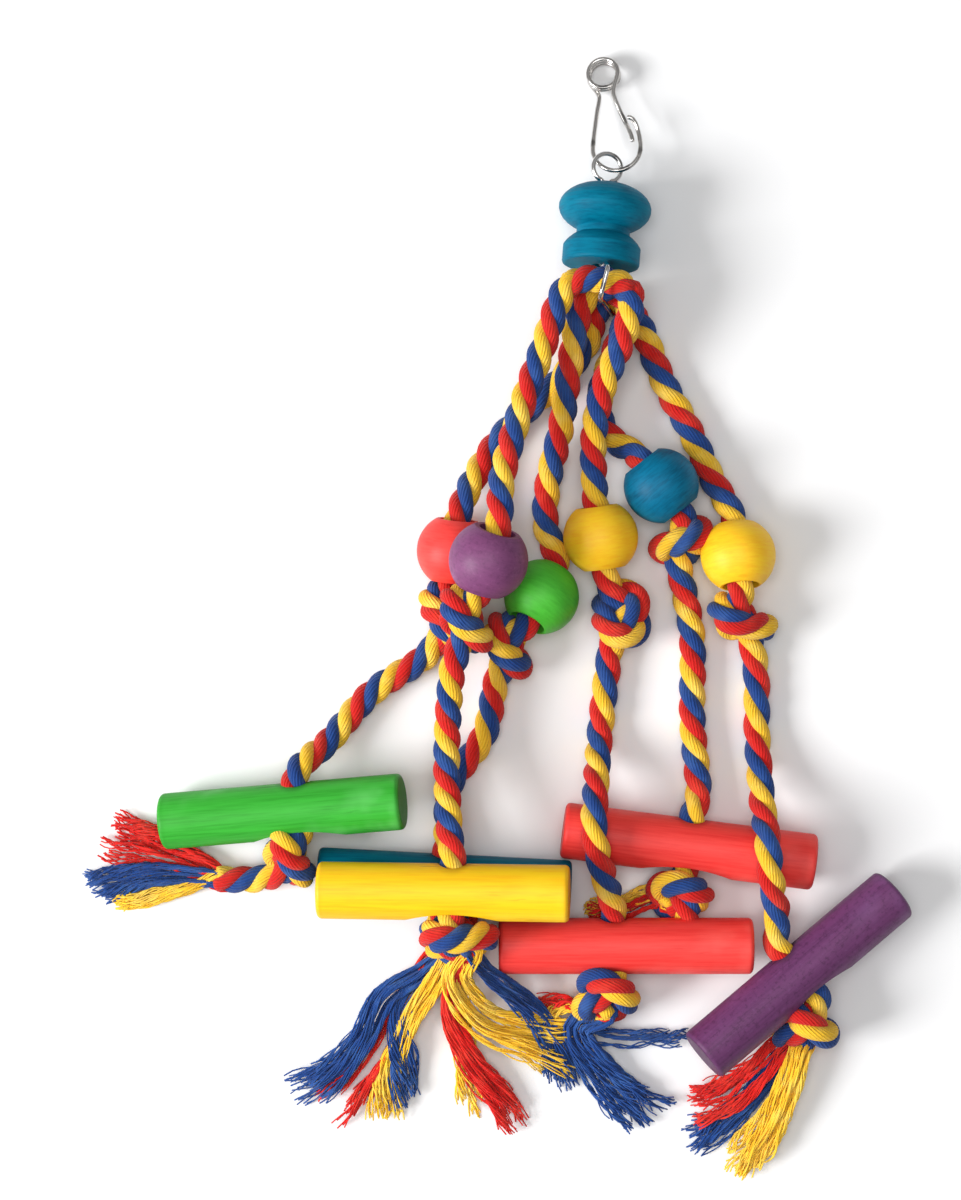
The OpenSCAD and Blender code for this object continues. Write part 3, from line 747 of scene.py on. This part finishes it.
BACK = dict(
    left=leg([[20.2, 87.6, 6], [18.3, 77, 5], [9, 64, 5], [-5, 51, 5], [-17, 36.5, 5.5]],
             "bead_red", [[-30, -16.5, 10.5], [-36.5, -30, 5.5], [-55.5, -43, 5], [-70, -59.5, 8]],
             "block_green", [-82.5, -99, 14]),
    fold=[25.4, 91.6, 7],
    right=leg([[31.2, 88.8, 5.2], [36, 81.5, 5], [44, 62, 5], [52.5, 46.5, 5], [60, 30, 6]],
              "bead_yellow_right", [[70, -18, 12], [75, -34, 5], [75.5, -57.5, 5], [76.5, -80, 14.5],
                                    [77.5, -92.5, 25.2], [78.5, -104, 25], [81.5, -118.5, 18]],
              "block_purple", [93.2, -157, 10.5]),
    knots_left=[([-30, -16.5, 10], 45, 6.3, 1, 1), ([-83.6, -99, 13], 315, 6.3, 1, 1)],
    knots_right=[([70, -18.5, 11], 335, 6.3, 1, 0.95), ([93.7, -156.6, 10.5], 270, 7.6, 1, 0.9)],
    order=(BLUE, YELLOW, RED), phase=-36,
    wind_left=(22.5, 20.5, 1.027, 6.797), wind_right=(23.25, 27.25, 1.045, 7.088),
    left_tail=[[-94, -106.5, 6.5], [-103, -106.8, 5.2], [-108, -106.6, 4.9]],
)
front_legs = rope("rope_front", **FRONT)
middle_legs = rope("rope_middle", **MIDDLE)
back_legs = rope("rope_back", **BACK)

# Locks of loose yarn at each rope's end: colour, yarns, half width in mm, points of the middle line
FRAYS = [
    [(YELLOW, 50, 9.5, [[-27, -139, 20], [-19, -153, 13], [-2, -161, 8], [15, -168, 3.5]]),
     (RED, 50, 9.5, [[-28, -148, 10], [-21, -166, 6], [-11, -179, 4], [-3, -190, 2.5]]),
     (BLUE, 46, 7.5, [[-17, -136, 20], [-6, -146, 12], [3.5, -158, 6.5], [11, -178, 3]]),
     (YELLOW, 22, 5, [[-25, -147.5, 8], [-22.5, -168, 3], [-19.5, -188, 2]])],
    [(BLUE, 44, 8.5, [[14.5, -157, 8], [18.5, -167, 6], [27, -178, 4], [38, -190, 3]]),
     (BLUE, 10, 2.6, [[20, -158.5, 6], [37.5, -161, 4], [53, -159.5, 2.5]]),
     (BLUE, 5, 2.6, [[18, -165, 5], [33, -176.5, 4], [50, -182, 2.5]]),
     (YELLOW, 26, 4.5, [[11, -150.5, 6], [2.5, -155.5, 3.5]]),
     (RED, 14, 3.5, [[10, -147, 7], [1.5, -148.5, 5]])],
    [(BLUE, 44, 7, [[-37.5, -138, 7], [-51, -146.5, 6], [-58, -161, 5], [-68, -173, 4],
                    [-82, -180.5, 2.5]]),
     (RED, 30, 7.5, [[-36, -136, 6], [-48, -158.5, 3], [-59.5, -175.5, 3], [-70, -190, 2.5]]),
     (YELLOW, 36, 5.5, [[-35, -142, 9], [-45, -158.5, 5], [-50.5, -175, 3], [-51.5, -190, 2.5]]),
     (BLUE, 30, 5, [[-37.5, -139.5, 5], [-45.5, -151, 6], [-46, -166.5, 5], [-42, -185.5, 2.5]])],
    [(YELLOW, 26, 3.5, [[41, -112.5, 5], [25.5, -117.5, 3], [17, -117.5, 2.6]]),
     (RED, 20, 3.5, [[42, -113.5, 5], [27, -119.0, 3.4], [18, -120, 2.6]])],
    [(BLUE, 42, 7, [[-113, -105.5, 5], [-131, -104.5, 4], [-152.5, -109, 3]]),
     (YELLOW, 36, 5, [[-113, -109, 4.5], [-125, -113, 4], [-142.5, -116, 2.5]]),
     (RED, 40, 8, [[-114, -102.5, 4], [-128, -96.5, 3], [-146, -92, 2.5]])],
    [(YELLOW, 60, 6.5, [[90, -164, 10], [85.5, -177, 8], [78.5, -192, 6], [67, -206, 3]]),
     (RED, 42, 8, [[85, -162, 8], [76, -172, 7], [66, -180, 5.5], [53.5, -184.5, 4]]),
     (BLUE, 34, 7, [[84, -168, 5], [74, -182, 3], [62, -192, 2.8], [51, -198.5, 2.4]])],
]
for number, (cord, path) in enumerate(front_legs + middle_legs + back_legs):
    declare(path, [fray(cord.name.replace("_leg", "_fray"), path, FRAYS[number], 20 + number)])


# Wooden pieces: they keep their solids, in dyed wood

def dress(node, material):
    """Gives a solid of the frame a better material."""
    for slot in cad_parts[node].material_slots:
        slot.material = material


# Each dye: its colour, its deeper tone, and its pale tone. In the clouds the pale tone is partly uneven
# dye and partly painted highlight.
DYES = {
    "red": ((0.92, 0.06, 0.05), (0.74, 0.018, 0.016), (0.97, 0.16, 0.13)),
    "green": ((0.04, 0.42, 0.035), (0.018, 0.25, 0.014), (0.2, 0.68, 0.2)),
    "yellow": ((0.98, 0.62, 0.005), (0.93, 0.42, 0.003), (0.99, 0.73, 0.025)),
    "teal": ((0.0, 0.16, 0.26), (0.0, 0.055, 0.12), (0.002, 0.26, 0.36)),
    "purple": ((0.155, 0.042, 0.142), (0.085, 0.022, 0.08), (0.23, 0.1, 0.26)),
}
SHEEN = {"teal": 0.08, "green": 0.26, "purple": 0.3}
# In metres: half a block's length, and how much farther in its darker ends start; they are partly end
# grain and partly painted shade
BLOCK_HALF = 0.043
END_GRAIN_AND_SHADE = {"green": 0.0015, "yellow": 0.001}
for node, (turn, rise, hole_at) in BLOCKS.items():
    colour = node.split("_")[-1]
    dress(node, dyed_wood(
        node, tuple(middle(node) * MM), (0, math.radians(-rise), math.radians(turn)), *DYES[colour],
        half=BLOCK_HALF - END_GRAIN_AND_SHADE.get(colour, 0), hole=hole_at * MM,
        specks=0.35 if colour == "purple" else 0, sheen=SHEEN.get(colour, 0.35)))
# The beads' dyes, in the same order. Their pale tone in the clouds is partly painted highlight.
BEAD_DYES = {
    "purple": ((0.2, 0.055, 0.16), (0.13, 0.035, 0.11), (0.42, 0.16, 0.34)),
    "yellow": ((0.99, 0.6, 0.015), (0.93, 0.38, 0.005), (0.99, 0.74, 0.08)),
    "green": ((0.07, 0.5, 0.035), (0.035, 0.33, 0.015), (0.18, 0.66, 0.1)),
    "teal": ((0.0, 0.15, 0.28), (0.0, 0.035, 0.085), (0.02, 0.3, 0.45)),
}
for node, (turn, rise) in BEADS.items():
    colour = node.split("_")[1]
    dress(node, dyed_wood(
        node, tuple(middle(node) * MM), (0, math.radians(-rise), math.radians(turn - 90)),
        *BEAD_DYES.get(colour, DYES[colour]), lathe=True, specks=0.3 if colour == "purple" else 0,
        sheen=0.16 if colour == "teal" else 0.35))


# The cap's axes, as the solid model leans it
DOME_WIDE, DOME_HIGH, DOME_MID = 31.3, 17.6, 19.8
TILT, LEAN = math.radians(8), math.radians(5)
CAP_UP = np.array([math.sin(LEAN) * math.cos(TILT), math.cos(LEAN) * math.cos(TILT), -math.sin(TILT)])
CAP_SIDE = np.array([math.cos(LEAN), -math.sin(LEAN), 0])
CAP_UNDER = np.cross(CAP_UP, CAP_SIDE)
DOME_Z = math.hypot(DOME_WIDE / 2 * math.cos(TILT), DOME_HIGH / 2 * math.sin(TILT))
CAP_AT = np.array([23.4, 120.4, DOME_Z]) - DOME_MID * CAP_UP
CAP_LONG = DOME_MID + DOME_HIGH / 2
dress("cap", dyed_wood(
    "cap", tuple((CAP_AT + 0.5 * CAP_LONG * CAP_UP) * MM), (0, TILT, math.pi / 2 - LEAN),
    *DYES["teal"], lathe=True, sheen=SHEEN["teal"]))


def from_cap(side, under, up):
    """A point given from the middle of the cap's base: to the side, under, and up its axis."""
    return CAP_AT + side * CAP_SIDE + under * CAP_UNDER + up * CAP_UP


# Wires: smooth tubes through the same points as the solid ones

WIRE = 1.6
LEG_OFF = 0.95
EYE_R, EYE_TURN = 4.95, math.radians(16)
EYE_ASIDE, EYE_UNDER = -0.4, 0.4
EYE_UP = CAP_LONG + 0.5 + EYE_R
FOLD_OFF = ROPE / 2 + 0.3 + WIRE / 2
FACE_OFF = 0.3 + WIRE / 2 + 0.05


def leg_point(side, k):
    """A point of a wire leg in the cap's bore, from the eye (0) to the base (1)."""
    a = EYE_TURN + (math.pi / 2 - EYE_TURN) * k
    aside = side * LEG_OFF
    return from_cap(aside * math.cos(a), aside * math.sin(a), (CAP_LONG - 3) * (1 - k))


def hanging_wire():
    """Up through the cap's bore, round the eye as a circle, back down, and round the ropes' folds."""
    front, mid, back = (np.array(r["fold"]) for r in (FRONT, MIDDLE, BACK))
    eye = [from_cap(EYE_ASIDE + EYE_R * math.cos(a) * math.cos(EYE_TURN),
                    EYE_UNDER + EYE_R * math.cos(a) * math.sin(EYE_TURN), EYE_UP + EYE_R * math.sin(a))
           for a in np.radians(np.arange(-72, 253, 20.25))]
    loop = [
        from_cap(0, -LEG_OFF, 1), from_cap(0.2, -1.7, -1.3), from_cap(1.3, -9, -FACE_OFF - 0.2),
        [23.6, front[1] + 4.4, front[2] + FOLD_OFF - 0.2],
        [22.6, front[1], front[2] + FOLD_OFF + 0.1],
        [21.6, front[1] - 4, front[2] + FOLD_OFF - 0.4],
        [21.4, front[1] - FOLD_OFF - 0.3, front[2] + 2.5],
        [22.4, front[1] - FOLD_OFF - 0.4, front[2] - 2.5],
        [24, mid[1] - FOLD_OFF - 0.4, mid[2]],
        [25.8, back[1] - FOLD_OFF - 0.5, back[2] + 2.5],
        [25.6, back[1] - FOLD_OFF - 0.2, back[2] - 2.8],
        [25, back[1] - 3.4, back[2] - FOLD_OFF + 0.3],
        [24, back[1] + 2.4, back[2] - FOLD_OFF],
        from_cap(0, 15, -FACE_OFF - 0.6), from_cap(0, 9, -FACE_OFF - 0.2),
        from_cap(0, 1.7, -1.3), from_cap(0, LEG_OFF, 1)]
    points = [
        *(leg_point(1, k / 5) for k in (3, 2, 1, 0)), *eye, *(leg_point(-1, k / 5) for k in range(5)),
        *loop, leg_point(1, 0.92), leg_point(1, 0.8), leg_point(1, 0.68)]
    wire = piece("eye_and_loop_wire", [(tube(flowing(points, 0.5), WIRE / 2, 16), 0)],
                 [plated("bright_wire", (0.68, 0.67, 0.66), 0.16)], "toy")
    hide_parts("hanging_wire")


BOW_R, COIL_R, COIL_ASIDE, COIL_UP, COIL_TURNS = 8.1, 5.1, -4.25, 27, 2.65
HOOK_TILT, HOOK_ROLL = math.radians(15), math.radians(8)
HOOK_ASIDE, HOOK_DOWN = 3.24, 1.2


def snap_hook():
    """One spring wire: the catch, half round the bow, up the leg, round the coil as a helix
    (x0 + r cos a, y0 + r sin a, rising evenly), and down again as the gate."""
    a = np.radians(np.arange(0, -181, -18))
    bow = np.stack([BOW_R * np.cos(a), BOW_R * np.sin(a), 0 * a], axis=1)
    k = np.arange(46) / 45
    a = math.radians(222) - COIL_TURNS * 2 * math.pi * k
    half = COIL_TURNS * (WIRE + 0.15) / 2
    coil = [COIL_ASIDE + COIL_R * np.cos(a), COIL_UP + COIL_R * np.sin(a), half * (2 * k - 1)]
    coil = np.stack(coil, axis=1)
    catch = [[4, 10.2, 2.1], [5.4, 9.8, 1.8], [6.6, 8.2, 0.8], [7.4, 5.6, 0], [7.9, 2.8, 0]]
    stem = [[0.5 - BOW_R, 6, -0.2], [-6.6, 14, -0.7], [-5.9, 19, -1.3],
            [-6.6, COIL_UP - COIL_R - 0.6, -1.9]]
    gate = [[-0.7, COIL_UP - 6.5, 2], [-0.3, COIL_UP - 9.5, 1.8], [1.4, 13, 1], [3.4, 8.4, 0.2],
            [4.9, 4.5, 0], [5.4, 2.2, 0]]
    p = flowing([*catch, *bow, *stem, *coil, *gate], 0.5)
    x = p[:, 0] * math.cos(HOOK_ROLL) - p[:, 2] * math.sin(HOOK_ROLL)
    z = p[:, 0] * math.sin(HOOK_ROLL) + p[:, 2] * math.cos(HOOK_ROLL)
    y, z = (p[:, 1] * math.cos(HOOK_TILT) + z * math.sin(HOOK_TILT),
            z * math.cos(HOOK_TILT) - p[:, 1] * math.sin(HOOK_TILT))
    eye = from_cap(EYE_ASIDE, EYE_UNDER, EYE_UP)
    at = np.array([eye[0] + HOOK_ASIDE, eye[1] + BOW_R - HOOK_DOWN, WIRE / 2 + 0.1 - z.min()])
    hook = piece("spring_hook", [(tube(np.stack([x, y, z], axis=1) + at, WIRE / 2, 16), 0)],
                 [plated("nickel_wire", (0.62, 0.6, 0.58), 0.2)], "hook")
    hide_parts("snap_hook")


hanging_wire()
snap_hook()


# Table and light

def floor():
    """A pale table top, level with the toy's lowest point."""
    bpy.ops.mesh.primitive_plane_add(size=6)
    table = bpy.context.object
    table.name = "table"
    table.data.materials.append(Look("table_top").finish(
        Base_Color=(0.91, 0.91, 0.915), Roughness=0.75, Specular_IOR_Level=0.2))


def lamp(name, at, size, power):
    """A square soft light that faces the middle of the table."""
    data = bpy.data.lights.new(name, "AREA")
    data.shape = "SQUARE"
    data.size = size
    data.energy = power
    ob = bpy.data.objects.new(name, data)
    ob.location = at
    ob.rotation_euler = (-Vector(at)).to_track_quat("-Z", "Y").to_euler()
    bpy.context.scene.collection.objects.link(ob)


floor()
lamp("window", (-2.2, -0.6, 1.5), 1.15, 86)
lamp("softbox", (-0.1, 0.05, 1.9), 0.9, 12)
# The room gives light of strength 0.12 from the table's level, rising to 0.4 near overhead
world = bpy.data.worlds.new("room")
bpy.context.scene.world = world
world.use_nodes = True
sky = world.node_tree.nodes["Background"]
sky.inputs[0].default_value = (1, 1, 1, 1)
way = world.node_tree.nodes.new("ShaderNodeTexCoord")
split = world.node_tree.nodes.new("ShaderNodeSeparateXYZ")
height = world.node_tree.nodes.new("ShaderNodeMapRange")
for key, value in enumerate((0.0, 0.9, 0.12, 0.4), start=1):
    height.inputs[key].default_value = value
world.node_tree.links.new(way.outputs["Generated"], split.inputs[0])
world.node_tree.links.new(split.outputs[2], height.inputs[0])
world.node_tree.links.new(height.outputs[0], sky.inputs[1])
bpy.context.scene.view_settings.view_transform = "Standard"
